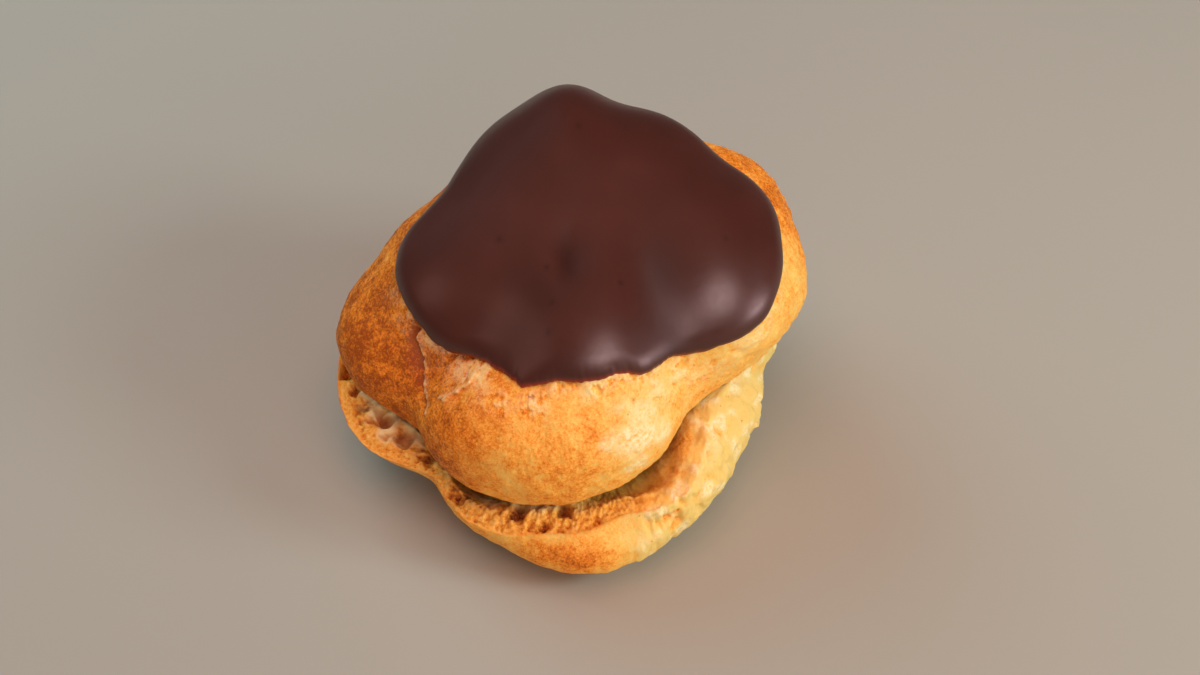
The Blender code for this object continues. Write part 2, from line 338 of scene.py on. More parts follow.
def creases(points, size, octaves=3):
    """Noise between about 0 and 1 whose highest places are thin creases."""
    values = [noise.turbulence(Vector(point) / size, octaves, False) for point in points.reshape(-1, 3)]
    return 1 - np.clip(np.array(values).reshape(points.shape[:-1]) * CREASE_GAIN, 0, 1)


def cells(points, size):
    """Irregular cells: distance to the cell's middle, width to its wall, and the cell's own number."""
    found = []
    for point in points.reshape(-1, 3):
        place = Vector(point) / size
        distances, nearest = noise.voronoi(place + CELL_WARP * noise.noise_vector(place * CELL_WARP_SCALE))
        number = CELL_NUMBER_MEAN + CELL_NUMBER_GAIN * noise.noise(nearest[0] * CELL_NUMBER_SCALE)
        found.append((distances[0], distances[1] - distances[0], number))
    return np.array(found).T.reshape((3, *points.shape[:-1]))


def pores(points, size):
    """How deep in a pore each point is, from 0 on the walls between pores to 1 in the deepest."""
    _, width, number = cells(points, size)
    return smooth_step(*PORE_WALL, width) * np.clip(number, 0, 1)


def granules(points, size):
    """Rounded grains: 1 at the top of the proudest, 0 in the clefts between them."""
    middle, _, number = cells(points, size)
    rounded = np.clip(1 - (middle / GRANULE_RADIUS) ** 2, 0, 1)
    return rounded * np.clip(GRANULE_LEAST + GRANULE_GAIN * number, 0, 1)


def tearing(points, size):
    """Jagged noise between about -1 and 1, with ever finer steps."""
    values = [noise.fractal(Vector(point) / size, *TEAR_STEPS) for point in points.reshape(-1, 3)]
    return np.array(values).reshape(points.shape[:-1])


def jostled(points, far, size, shifts):
    """The points pushed about by noise, a different one along each axis."""
    return points + far * np.stack([bumps(points + shift, size) for shift in shifts], -1)


def dents(points, hollows=LID_DENTS):
    """How deep the hollows are at each point."""
    depth = np.zeros(points.shape[:-1])
    for centre, half_widths, deepest in hollows:
        depth += deepest * np.exp(-(((points - np.array(centre)) / half_widths) ** 2).sum(-1))
    return depth


def spot(points, centre, radius, edge):
    """1 within a radius of the centre, falling to 0 outside it, the more sharply the higher the edge."""
    away = np.linalg.norm((points - np.array(centre)) / radius, axis=-1)
    return np.exp(-(away**edge))


def along_line(points, line, width):
    """1 on a line through the given points, falling to 0 at about twice the width from it."""
    best = np.full(points.shape[:-1], np.inf)
    for start, end in zip(line[:-1], line[1:]):
        start = np.array(start)
        run = np.array(end) - start
        share = np.clip((points - start) @ run / (run @ run), 0, 1)
        best = np.minimum(best, np.linalg.norm(points - start - share[..., None] * run, axis=-1))
    return np.exp(-((best / width) ** 2))


def swells(points):
    """The skin's broad unevenness."""
    return SWELL_HEIGHT * bumps(points, SWELL_SIZE) + LUMP_HEIGHT * bumps(points, LUMP_SIZE)


def base_shape(azimuth, polar):
    """The base's outer skin without its fine relief: the distance along each way, and the ways."""
    ways = direction(azimuth, polar)
    distance = reach(BASE_CENTRE, ways, BASE_LOBES, BASE_BLEND)
    points = BASE_CENTRE + distance[..., None] * ways
    distance += swells(points) * smooth_step(0, SMOOTH_ABOVE_FLOOR, points[..., 2])
    return distance, ways


def on_floor(distance, ways):
    """The distance, held above the floor so that the foot is flat."""
    to_floor = BASE_CENTRE[2] / np.maximum(-ways[..., 2], 1e-6)
    above = np.clip(0.5 + 0.5 * (to_floor - distance) / FOOT_ROUNDING, 0, 1)
    return to_floor + (distance - to_floor) * above - FOOT_ROUNDING * above * (1 - above)


def base_skin(azimuth, polar):
    """The base's skin without its fine relief."""
    distance, ways = base_shape(azimuth, polar)
    return BASE_CENTRE + on_floor(distance, ways)[..., None] * ways


def lid_skin(azimuth, polar):
    """The lid's skin without its fine relief."""
    ways = direction(azimuth, polar)
    distance = reach(LID_CENTRE, ways, LID_LOBES, LID_BLEND)
    points = LID_CENTRE + distance[..., None] * ways
    distance += swells(points) - dents(points)
    return LID_CENTRE + distance[..., None] * ways


def cut_height(points):
    """The height of the knife's cut at each point."""
    x, y = points[..., 0], points[..., 1]
    wave = np.sin(x / CUT_WAVE_RIGHT + CUT_PHASE_RIGHT) * np.sin(y / CUT_WAVE_BACK + CUT_PHASE_BACK)
    return CUT_HEIGHT + CUT_SLOPE_RIGHT * x + CUT_SLOPE_BACK * y + CUT_WAVE * wave


def lid_underside_height(points):
    """The height of the lid's underside, which gapes at the front."""
    openness = np.clip((GAP_STARTS_Y - points[..., 1]) / (GAP_STARTS_Y - GAP_FULL_Y), 0, 1)
    return cut_height(points) + GAP_RESTING + (GAP_FRONT - GAP_RESTING) * openness**2


def cut_polar(skin, height, azimuth, pole):
    """The polar angle at which the skin meets the cut, seen from straight up or straight down."""
    kept = np.abs(np.full(azimuth.shape, pole) - CUT_SEARCH_FROM)
    lost = math.pi - kept
    side = math.copysign(1, math.pi / 2 - pole)
    for _ in range(CUT_SEARCH_STEPS):
        middle = (kept + lost) / 2
        points = skin(azimuth, middle)
        still_kept = (points[..., 2] - height(points)) * side > 0
        kept = np.where(still_kept, middle, kept)
        lost = np.where(still_kept, lost, middle)
    return kept


def spokes_at(share):
    """Fewer spokes near a pole."""
    if share < QUARTER_SPOKES_WITHIN:
        return SPOKES // 4
    return SPOKES // 2 if share < HALF_SPOKES_WITHIN else SPOKES


def azimuths(count):
    """Spokes all the way round, closer together at the front."""
    even = np.arange(count) * 2 * math.pi / count
    return even - FRONT_CROWDING * np.sin(even)


def icing_reach(azimuth):
    """The icing's reach in radians: a smooth closed curve through its table."""
    knots, reaches = np.radians(ICING_REACH).T
    knots = np.concatenate([knots - 2 * math.pi, knots, knots + 2 * math.pi])
    reaches = np.tile(reaches, 3)
    slopes = np.gradient(reaches, knots)
    before = np.searchsorted(knots, azimuth) - 1
    width = knots[before + 1] - knots[before]
    share = (azimuth - knots[before]) / width
    weight = share**2 * (3 - 2 * share)
    return (
        (1 - weight) * reaches[before]
        + weight * reaches[before + 1]
        + share * (1 - share) ** 2 * width * slopes[before]
        - share**2 * (1 - share) * width * slopes[before + 1]
    )


# Marks that the crust shows. Each spot: centre, half widths, height, change of browning and painted shade,
# floury paleness.
LID_SPOTS = (
    ((8.2, -25.5, 28.2), (1.3, 1.3, 2.0), 0.18, -0.25, 0.85),
    ((12.8, -23.6, 27.6), (4.6, 4.0, 3.0), 0.15, -0.25, 0.9),
    ((16.2, -21.2, 25.4), (2.2, 2.2, 2.4), 0.10, -0.25, 0.8),
    ((13.0, -25.4, 22.6), (2.2, 2.2, 1.6), 0.12, -0.2, 0.8),
    ((14.5, -21.5, 31.0), (3.6, 3.0, 2.4), 0.10, -0.2, 0.6),
    ((15.0, -17.2, 32.5), (2.6, 1.6, 1.2), 0.15, -0.2, 0.55),
    ((17.3, -16.4, 30.0), (1.5, 1.5, 1.2), 0.12, -0.2, 0.45),
    ((10.1, -21.1, 32.4), (2.6, 2.0, 1.6), 0.10, -0.2, 0.4),
    ((-12.1, -23.9, 30.8), (4.5, 4.0, 3.5), 0.0, 0.12, 0.0),
    ((1.0, -28.5, 25.0), (9.0, 3.0, 4.0), 0.0, 0.12, 0.0),
    # Dents painted browner as shade: a dimple, a hole and a furrow.
    ((-16.2, -15.6, 31.6), (2.2, 2.2, 2.0), -0.6, 0.08, 0.0),
    ((-14.3, -15.4, 32.9), (0.8, 0.8, 0.6), -0.9, 0.5, 0.0),
    ((-14.8, -19.4, 31.4), (2.6, 1.0, 1.0), -0.4, 0.1, 0.0),
)
BASE_SPOTS = (
    ((28.6, -14.4, 15.8), (0.9, 1.2, 2.2), -0.6, 0.35, 0.0),
    ((33.0, -10.8, 12.6), (1.0, 1.6, 1.0), 0.8, -0.1, 0.2),
    ((16.5, -25.3, 15.5), (2.6, 2.6, 1.8), 0.15, -0.2, 0.6),
    ((23.6, -18.1, 17.0), (3.4, 3.4, 2.2), 0.15, -0.2, 0.4),
    ((14.9, -28.3, 13.6), (1.4, 1.4, 1.6), 0.1, -0.2, 0.5),
    ((0.5, -35.0, 9.0), (9.0, 4.0, 2.5), 0.0, 0.3, 0.0),
    ((31.5, -5.0, 22.0), (3.0, 4.0, 2.5), 0.1, -0.2, 0.5),
)
# The torn ridge between the left lobe and the front lobe, and the crescent flap beside it.
CREASE = (
    (-22.7, -7.2, 33.4), (-22.5, -8.9, 30.8), (-22.0, -10.5, 28.8), (-21.8, -12.5, 27.4),
    (-21.7, -14.8, 26.4), (-21.3, -17.4, 26.0),
)
CREASE_SHADOW = tuple((x - 0.9, y + 0.4, z) for x, y, z in CREASE)
FLAP = (
    (-18.4, -17.6, 29.7), (-16.3, -17.9, 31.4), (-14.7, -17.4, 32.5), (-13.4, -16.5, 33.3),
    (-12.8, -15.9, 33.8),
)
# Their half widths and heights, with the hollow along the ridge, which is also painted browner as shade.
RIDGE_WIDTH = 0.6
RIDGE_HEIGHT = 1.0
SHADOW_WIDTH = 1.0
SHADOW_DEPTH = 1.5
FLAP_WIDTH = 0.5
FLAP_HEIGHT = 1.1
# How far noise pushes the outlines of spots and of torn edges about, its size and its shifts.
SPOT_JOSTLE = (0.9, 1.7, (13.1, 29.3, 47.7))
TORN_JOSTLE = (0.7, 1.2, (3.3, 21.7, 57.1))

# Larger pits in the base's cut face: centre from above, radius and depth.
RIM_PITS = (
    ((-37.0, -1.2), 1.5, 2.2), ((-35.6, -5.4), 0.9, 1.2), ((-30.0, -10.6), 1.7, 2.6),
    ((-26.2, -14.2), 1.7, 2.2), ((1.0, -28.7), 1.6, 1.6), ((-6.5, -28.4), 1.5, 1.8),
    ((-33.6, -8.4), 1.2, 0.9), ((-29.6, -14.0), 0.9, 0.9), ((-2.5, -31.2), 0.9, 1.0),
    ((-16.5, -25.6), 1.2, 1.4), ((-22.2, -18.8), 0.9, 1.1),
)


def skin_relief(points):
    """Fine relief that both halves' skins share."""
    fine = KNOB_HEIGHT * bumps(points, KNOB_SIZE)
    fine += WRINKLE_HEIGHT * (creases(points, WRINKLE_SIZE) - CREASE_MEAN)
    fine += BLISTER_HEIGHT * granules(points, BLISTER_SIZE)
    return fine + GRAIN_HEIGHT * bumps(points, GRAIN_SIZE)


def spots_on(points, spots):
    """Height, browning and paleness that the spots add."""
    height, browning_and_shade, flour = (np.zeros(points.shape[:-1]) for _ in range(3))
    places = jostled(points, *SPOT_JOSTLE)
    for centre, half_widths, rise, tone_and_shade, pale in spots:
        here = spot(places, centre, np.array(half_widths), 3)
        height += rise * here
        browning_and_shade += tone_and_shade * here
        flour = np.maximum(flour, pale * here)
    return height, browning_and_shade, flour


def base_surface(azimuth, polar):
    """The base's skin in full relief, with its marks."""
    distance, ways = base_shape(azimuth, polar)
    points = BASE_CENTRE + distance[..., None] * ways
    height, browning_and_shade, flour = spots_on(points, BASE_SPOTS)
    lumpy, lumps, lumpy_browning_and_shade = lumpy_skin(points, BASE_LUMPY_FROM_X)
    relief = (skin_relief(points) + height + lumps) * smooth_step(0, PLAIN_ABOVE_FLOOR, points[..., 2])
    distance = on_floor(distance + relief, ways)
    points = BASE_CENTRE + distance[..., None] * ways
    x, y, z = points[..., 0], points[..., 1], points[..., 2]
    browning_and_shade += change(*BASE_BROWNER_BACK, y)
    baked_and_shaded = BASE_BAKED + change(*BASE_BROWNER_LEFT, x) + change(*BASE_BROWNER_LOW, z)
    browning_and_shade += baked_and_shaded - change(*BASE_PALER_RIGHT, x)
    # Painted shade and light from the lumpy skin's relief.
    browning_and_shade += lumpy * (0.6 * lumpy_browning_and_shade - 0.04)
    flour = np.maximum(flour, FLOURY * lumpy * flour_patches(points))
    return points, {"browning_and_shade": browning_and_shade, "flour": flour}


def lumpy_skin(points, from_x):
    """The lumpy, wrinkled skin at the right of a place, fading to the back: its share, height, and browning
    with painted shade.
    """
    lumpy = smooth_step(from_x, from_x + LUMPY_BORDER, points[..., 0])
    lumpy = lumpy * (1 - change(*LUMPY_LOST_BACK, points[..., 1]))
    knobs = bumps(points + 71.3, 4.2)
    wrinkles = creases(points + 43.9, 2.6, 4)
    patches = smooth_step(-0.1, 0.5, bumps(points + 3.1, 3.1))
    hollows = smooth_step(0.3, 0.8, pores(points + 11.9, 1.5)) * patches
    fine = creases(points + 19.7, 1.1, 3)
    height = 0.7 * knobs + 1.1 * (wrinkles - CREASE_MEAN)
    height = height + 0.5 * (fine - CREASE_MEAN) - 0.6 * hollows
    # Partly painted shade and light: browner in hollows and creases, paler on knobs, over the wrinkles' own
    # orange lines.
    browning_and_shade = 0.5 * hollows + 1.2 * (CREASE_MEAN - wrinkles)
    browning_and_shade = browning_and_shade + 0.6 * (CREASE_MEAN - fine) - 0.9 * knobs
    return lumpy, lumpy * height, browning_and_shade


def flour_patches(points):
    """Where the pale skin at the right of the base is floury."""
    return smooth_step(*FLOURY_EDGE, bumps(points + 5.7, FLOURY_SIZE))


def lid_surface(azimuth, polar):
    """The lid's skin in full relief, with its marks. It is flaky for a few millimetres below the icing."""
    points = lid_skin(azimuth, polar)
    ways = direction(azimuth, polar)
    distance = np.linalg.norm(points - LID_CENTRE, axis=-1)
    height, browning_and_shade, flour = spots_on(points, LID_SPOTS)
    below_icing = (polar - icing_reach(azimuth)) * distance
    at_front = smooth_step(-100, -60, -np.degrees(np.abs(wrapped(azimuth))))
    within = FLAKY_WITHIN + FLAKY_WIDER * around_azimuth(azimuth, FLAKY_WIDEST, FLAKY_WIDER_SPREAD)
    flaky = np.exp(-((np.maximum(below_icing, 0) / within) ** 2)) * at_front
    flaky = np.clip(flaky * (0.8 + 1.5 * bumps(points, 3.6)), 0, 1)
    shown = smooth_step(-1.5, 0.5, below_icing)
    scales = creases(points, 1.8, 4)
    pitted = smooth_step(0.4, 0.8, pores(points, 1.1)) * smooth_step(-0.1, 0.4, bumps(points + 23.1, 2.4))
    relief = skin_relief(points) + height + flaky * (0.6 * (scales - 0.5) - 0.4 * pitted)
    relief += LID_LUMPY_SHARE * lumpy_skin(points, LID_LUMPY_FROM_X)[1]
    torn = jostled(points, *TORN_JOSTLE)
    uneven = 0.85 + 0.5 * bumps(points, 1.1)
    ridge = along_line(torn, CREASE, RIDGE_WIDTH) * uneven
    shadow = along_line(points, CREASE_SHADOW, SHADOW_WIDTH)
    flap = along_line(torn, FLAP, FLAP_WIDTH) * uneven
    relief += ridge * RIDGE_HEIGHT - shadow * SHADOW_DEPTH + flap * FLAP_HEIGHT
    points = LID_CENTRE + (distance + relief * shown)[..., None] * ways
    x, y = points[..., 0], points[..., 1]
    baked_and_shaded = LID_BAKED + change(*LID_BROWNER_LEFT, x) - change(*LID_PALER_RIGHT, x)
    browning_and_shade += np.minimum(baked_and_shaded + change(*LID_BROWNER_BACK, y), MOST_BAKED)
    # Painted shade: browner in the hollow along the crease and in the flaky band's pits and low places.
    browning_and_shade += flaky * (0.3 * (0.5 - scales) + 0.45 * pitted) - 0.2 * (ridge + flap) + 0.3 * shadow
    flour = np.maximum(flour, np.clip(0.7 * (ridge + flap), 0, 1))
    flour = np.maximum(flour, 0.45 * flaky * smooth_step(0.6, 0.85, scales))
    return points, {"browning_and_shade": browning_and_shade, "flour": flour}


def cut_face(points, height, side, share):
    """Points on the cut, torn into the dough: granular crumb with holes, nearly smooth at the right."""
    rough = points.copy()
    rough[:, 2] = height(points)
    right = smooth_step(*SMOOTH_RIM_X, points[:, 0])
    crumbly = smooth_step(0.0, 0.16, share) * (1 - 0.7 * right) * (1 - 0.5 * smooth_step(0.7, 1.0, share))
    torn = tearing(rough, 1.0)
    grains = granules(rough + 31.7, 0.6)
    holes = smooth_step(0.2, 0.55, bumps(rough + 57.1, 1.9))
    depth = 0.35 * (1 - right * (1 - smooth_step(0.1, 0.5, share)))
    depth += crumbly * (0.55 * holes - 0.35 * torn - 0.4 * grains)
    depth += 0.25 * np.abs(bumps(rough, 2.8))
    depth += 0.8 * right * bumps(rough + 5.3, 3.2) * smooth_step(0.0, 0.3, share)
    pit = np.zeros(len(points))
    if side > 0:
        for centre, radius, deepest in RIM_PITS:
            away = np.hypot(*(points[:, :2] - centre).T) * (1 + 0.5 * bumps(rough, 1.6))
            here = np.exp(-((away / radius) ** 4))
            depth += deepest * here
            pit = np.maximum(pit, here)
    azimuth = np.arctan2(points[:, 0], -points[:, 1])
    lift = CRUMB_LIFT * around_azimuth(azimuth, CRUMB_LIFT_AT, CRUMB_LIFT_SPREAD)
    lift *= (side > 0) * smooth_step(0.2, 0.6, share)
    cleft = around_azimuth(azimuth, CLEFT_AT, CLEFT_SPREAD) * (side > 0) * smooth_step(0.55, 0.75, share)
    ledge = around_azimuth(azimuth, LEDGE_AT, LEDGE_SPREAD) * (side > 0) * smooth_step(0.45, 0.7, share)
    sunk = np.maximum(cleft, ledge)
    depth = depth * (1 - 0.7 * sunk) + LEDGE_SUNK * sunk
    depth += (1.2 - 0.7 * lift) * smooth_step(0.5, 1.0, share) ** 2
    rough[:, 2] -= side * (np.maximum(depth, 0.0) - lift)
    # Painted shade: darker in the crumb's holes, pits and clefts between grains, the front-left cleft and the
    # ledge.
    painted_shade = crumbly * (0.6 * holes - 0.5 * torn + 0.5 * (0.3 - grains)) * (1 - ledge) - 0.12 * right + pit
    painted_shade = np.clip(painted_shade + cleft + 0.7 * ledge, 0, 1)
    return rough, painted_shade


def row_marks(count, rim=0.0, hollow=0.0, painted_shade=0.0, browning_and_shade=0.4, flour=0.0):
    """One ring's marks: each is a number or one value per point."""
    marks = {"rim": rim, "hollow": hollow, "painted_shade": painted_shade, "browning_and_shade": browning_and_shade, "flour": flour}
    return {name: np.broadcast_to(np.asarray(value, float), (count,)).copy() for name, value in marks.items()}


def smoothed(values):
    """The values round a closed ring, each averaged with its neighbours on both sides."""
    count = 2 * LIP_SMOOTHING + 1
    closed = np.concatenate([values[-LIP_SMOOTHING:], values, values[:LIP_SMOOTHING]])
    return np.convolve(closed, np.full(count, 1 / count), "valid")


def half_rows(plain, detailed, height, pole, centre, rim_width, wall, skin_shares, rim_shares, hollow_shares):
    """Rings of one half of the bun with their marks: outer pole, skin, cut face, hollow, inner pole."""
    side = math.copysign(1, pole - math.pi / 2)
    around = azimuths(SPOKES)
    end = cut_polar(plain, height, around, pole)
    first, marks = detailed(np.zeros(1), np.full(1, pole))
    rows = [(first, row_marks(1, **marks))]
    for share in skin_shares:
        step = SPOKES // spokes_at(share)
        points, marks = detailed(around[::step], pole + (end[::step] - pole) * share)
        over = np.maximum((points[:, 2] - height(points)) * side, 0)
        points[:, 2] -= over * side
        rows.append((points, row_marks(len(points), **marks)))
    edge = rows[-1][0]
    inward = centre[:2] - edge[:, :2]
    inward /= np.linalg.norm(inward, axis=1)[:, None]
    flap = around_azimuth(around, MEMBRANE_AT, MEMBRANE_SPREAD) * (side > 0)
    moist = MEMBRANE_FRONT_SHARE * around_azimuth(around, MEMBRANE_FRONT_AT, MEMBRANE_FRONT_SPREAD)
    moist = np.maximum(flap, moist) * (side > 0)
    ledge = around_azimuth(around, LEDGE_AT, LEDGE_SPREAD) * (side > 0)
    cleft = around_azimuth(around, CLEFT_AT, CLEFT_SPREAD) * (side > 0)
    even_edge = np.stack([smoothed(values) for values in edge.T], -1)
    for share in rim_shares:
        ring = edge + (even_edge - edge) * smooth_step(0, 0.4, share)
        further = MEMBRANE_REACH * flap + LEDGE_REACH * ledge
        ring[:, :2] += inward * (rim_width(around) * share + further * smooth_step(0.5, 1.0, share))[:, None]
        points, painted_shade = cut_face(ring, height, side, share)
        right = smooth_step(*SMOOTH_RIM_X, points[:, 0]) * (side > 0)
        hollow = smooth_step(0.5, 0.95, share + 0.2 * flap + 0.5 * bumps(points, 2.6)) * (1 - 0.8 * right)
        hollow = np.maximum(hollow, ledge * smooth_step(0.45, 0.7, share))
        bare = right * (1 - smooth_step(0.25, 0.55, share + 0.2 * bumps(points, 1.5)))
        cut = (1 - bare) * smooth_step(0.0, 0.1, share - 0.08 * bumps(points, 1.5))
        flour = moist * smooth_step(0.3, 0.5, share) * cut * (1 - 0.8 * painted_shade)
        flour *= 1 - cleft * smooth_step(0.45, 0.65, share)
        flour += FLOURY * bare * flour_patches(points)
        marks = {"rim": cut, "hollow": hollow * 0.9, "painted_shade": painted_shade, "browning_and_shade": 0.4 - 0.32 * right}
        rows.append((points, row_marks(SPOKES, flour=flour, **marks)))
    lip = rows[-1][0] - centre
    lip_distance = np.linalg.norm(lip, axis=1)
    lip_polar = np.arccos(lip[:, 2] / lip_distance)
    lip_wall = np.linalg.norm(plain(around, lip_polar) - centre, axis=1) - lip_distance
    shelf = smooth_step(-0.2, 0.5, np.cos(around + SHELF_TURNED))
    turn = WALL_TURN + (SHELF_TURN - WALL_TURN) * shelf * (1 - flap)
    for share in hollow_shares:
        step = SPOKES // spokes_at(share)
        even = 1 - smooth_step(0.95, 1.0, share)
        lip_way = (lip_polar + (smoothed(lip_polar) - lip_polar) * even)[::step]
        lip_thickness = (lip_wall + (smoothed(lip_wall) - lip_wall) * even)[::step]
        outer = plain(around[::step], pole + (lip_way - pole) * share) - centre
        distance = np.linalg.norm(outer, axis=1)
        thickness = wall + (lip_thickness - wall) * share ** turn[::step]
        points = centre + outer * ((distance - thickness) / distance)[:, None]
        bubble = pores(points, 4.2)
        small = pores(points + 17.3, 1.6)
        pale = flap[::step] * smooth_step(0.83, 0.9, share)
        dig = 1.1 * bubble + 0.35 * small
        dig += 0.15 * bumps(points, 1.2)
        dig += 0.4 * pale * tearing(points, 0.9)
        dig -= 0.3
        dig *= 1 - smooth_step(0.98, 1.0, share)
        points = centre + outer * ((distance - thickness + dig) / distance)[:, None]
        marks = {
            "hollow": 1 - 0.85 * smooth_step(0, 10, points[:, 0]) * (side > 0),
            # Painted shade: darker in the wall's pores, less so on the pale membrane.
            "painted_shade": np.clip(0.5 * bubble + 0.4 * small, 0, 1) * (1 - 0.7 * pale),
            "flour": pale,
        }
        rows.append((points, row_marks(len(points), rim=1.0, **marks)))
    outer = rows[0][0] - centre
    rows.append((centre + outer * (1 - wall / np.linalg.norm(outer)), row_marks(1, rim=1.0, hollow=1.0)))
    return rows


def base_rim_width(azimuth):
    """The width of the base's cut face."""
    thicker = BASE_RIM_THICKER * around_azimuth(azimuth, BASE_RIM_THICKEST, BASE_RIM_THICKER_SPREAD)
    thinner = BASE_RIM_THINNER * around_azimuth(azimuth, BASE_RIM_THINNEST, BASE_RIM_THINNER_SPREAD)
    return BASE_RIM_WIDTH - BASE_RIM_SWAY * np.sin(azimuth) + thicker - thinner


def lid_rim_width(azimuth):
    """The width of the lid's cut face, the same all round."""
    return np.full(azimuth.shape, LID_RIM_WIDTH)


def waves(points, height, size):
    """Smooth noise of the given height and size."""
    return height * bumps(points, size)


def icing_rows():
    """Rings of the icing with their marks: crown, outer face, rounded edge, underside, inner pole."""
    around = azimuths(SPOKES)
    ways = direction(around, np.full(SPOKES, ICING_WAVES_POLAR))
    front = smooth_step(*ICING_FRONT_FADE, np.cos(around + ICING_FRONT_TURNED))
    ragged = front * (waves(ways, *ICING_FRONT_WAVES) + waves(ways, *ICING_FINE_WAVES))
    ragged = waves(ways, *ICING_WAVES) + ragged
    ends = icing_reach(around)

    def ring(share, outside):
        """One ring of the outer face or of the underside, with its marks."""
        step = SPOKES // spokes_at(share)
        polar = ends[::step] * share + ragged[::step] * share**ICING_RAGGED_POWER
        ways = direction(around[::step], polar)
        crust = np.linalg.norm(lid_skin(around[::step], polar) - LID_CENTRE, axis=-1)
        if not outside:
            return LID_CENTRE + (crust - ICING_SUNK)[:, None] * ways, row_marks(len(ways), rim=1.0)
        smooth = reach(LID_CENTRE, ways, LID_LOBES, ICING_BLEND)
        smooth -= dents(LID_CENTRE + smooth[:, None] * ways)
        full = np.maximum(smooth, crust) + ICING_GAP + ICING_THICKNESS - crust
        full -= dents(LID_CENTRE + smooth[:, None] * ways, ICING_DENTS)
        from_edge = (1 - share) * ends[::step] * crust
        rise = np.clip(from_edge / ICING_EDGE_WIDTH, 0, 1)
        height = full * np.sqrt(1 - (1 - rise) ** 2) - ICING_SUNK * (1 - rise)
        thin = 1 - smooth_step(0, ICING_THIN_WITHIN, from_edge)
        points = LID_CENTRE + (crust + height)[:, None] * ways
        # Painted shade: darker in the valley's ends, which are also duller, in the dimple and in the pinholes.
        shades = {"painted_shade": np.clip(dents(points, ICING_DULL_SHADE), 0, 1), "hollow": dents(points, ICING_PAINTED_SHADE)}
        return points, row_marks(len(ways), rim=thin * front[::step], **shades)

    from_edge = (np.arange(1, ICING_ROWS + 1) / ICING_ROWS) ** ICING_ROW_CROWDING
    shares = 1 - from_edge[::-1]
    shares[0] = 0
    outer = [(share, True) for share in np.append(shares, 1.0)]
    under = [(share, False) for share in np.linspace(1, 0, ICING_UNDER_ROWS)]
    rows = []
    for share, outside in outer + under:
        points, marks = ring(share, outside)
        if share == 0:
            points, marks = points[:1], {kind: values[:1] for kind, values in marks.items()}
        rows.append((points, marks))
    return rows


def ring_faces(first, first_count, second, second_count):
    """Faces between two rings of vertices, of which one may be a pole or have twice the other's spokes."""
    if first_count > second_count:
        return [face[::-1] for face in ring_faces(second, second_count, first, first_count)]
    faces = []
    for i in range(second_count):
        here = second + i
        after = second + (i + 1) % second_count
        if first_count == 1:
            faces.append((first, after, here))
        elif first_count == second_count:
            faces.append((first + i, first + (i + 1) % first_count, after, here))
        else:
            beyond = first + (i // 2 + 1) % first_count
            if i % 2 == 0:
                faces.append((first + i // 2, after, here))
                faces.append((first + i // 2, beyond, after))
            else:
                faces.append((beyond, after, here))
    return faces


def add_piece(name, rows, material, node):
    """One closed mesh through the rings, which carries the rings' marks; the node's own part is hidden."""
    starts = np.cumsum([0] + [len(points) for points, _ in rows])
    faces = []
    for i in range(len(rows) - 1):
        faces += ring_faces(starts[i], len(rows[i][0]), starts[i + 1], len(rows[i + 1][0]))
    mesh = bpy.data.meshes.new(name)
    points = np.concatenate([points for points, _ in rows])
    mesh.from_pydata(((points - SHIFT) * METRES).tolist(), [], faces)
    for kind in rows[0][1]:
        values = np.concatenate([marks[kind] for _, marks in rows]).astype(np.float32)
        mesh.attributes.new(kind, "FLOAT", "POINT").data.foreach_set("value", values)
    shape = bmesh.new()
    shape.from_mesh(mesh)
    bmesh.ops.recalc_face_normals(shape, faces=shape.faces)
    shape.to_mesh(mesh)
    shape.free()
    mesh.shade_smooth()
    mesh.materials.append(material)
    piece = bpy.data.objects.new(name, mesh)
    bpy.context.scene.collection.objects.link(piece)
    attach(piece, "root")
    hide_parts(node)


def node(tree, kind, inputs=None, **settings):
    """A shader node with its settings, and each input set to a value or joined to a socket."""
    made = tree.nodes.new("ShaderNode" + kind)
    for name, value in settings.items():
        setattr(made, name, value)
    for socket, value in (inputs or {}).items():
        if isinstance(value, bpy.types.NodeSocket):
            tree.links.new(value, made.inputs[socket])
        else:
            made.inputs[socket].default_value = value
    return made


def ramp(tree, factor, stops):
    """A colour ramp through the stops."""
    made = node(tree, "ValToRGB", {0: factor})
    made.color_ramp.elements[0].position, made.color_ramp.elements[0].color = stops[0][0], (*stops[0][1], 1)
    made.color_ramp.elements[1].position, made.color_ramp.elements[1].color = stops[-1][0], (*stops[-1][1], 1)
    for position, colour in stops[1:-1]:
        made.color_ramp.elements.new(position).color = (*colour, 1)
    return made.outputs[0]


def blend(tree, share, first, second):
    """The first colour, turning into the second as the share rises to 1."""
    return node(tree, "Mix", {0: share, 6: first, 7: second}, data_type="RGBA").outputs[2]


def maths(tree, operation, first, second, clamp=False):
    """The result of one operation on two values."""
    return node(tree, "Math", {0: first, 1: second}, operation=operation, use_clamp=clamp).outputs[0]


def grain(tree, where, size_mm, detail=2.0, roughness=0.5, offset=0.0):
    """Noise of about 0.5 with features of the given size."""
    inputs = {"Vector": where, "Scale": 1 / (size_mm * METRES), "Detail": detail, "Roughness": roughness}
    inputs["W"] = offset
    return node(tree, "TexNoise", inputs, noise_dimensions="4D").outputs[0]


def mark(tree, name):
    """One of the marks that the mesh carries."""
    return node(tree, "Attribute", attribute_name=name).outputs["Fac"]


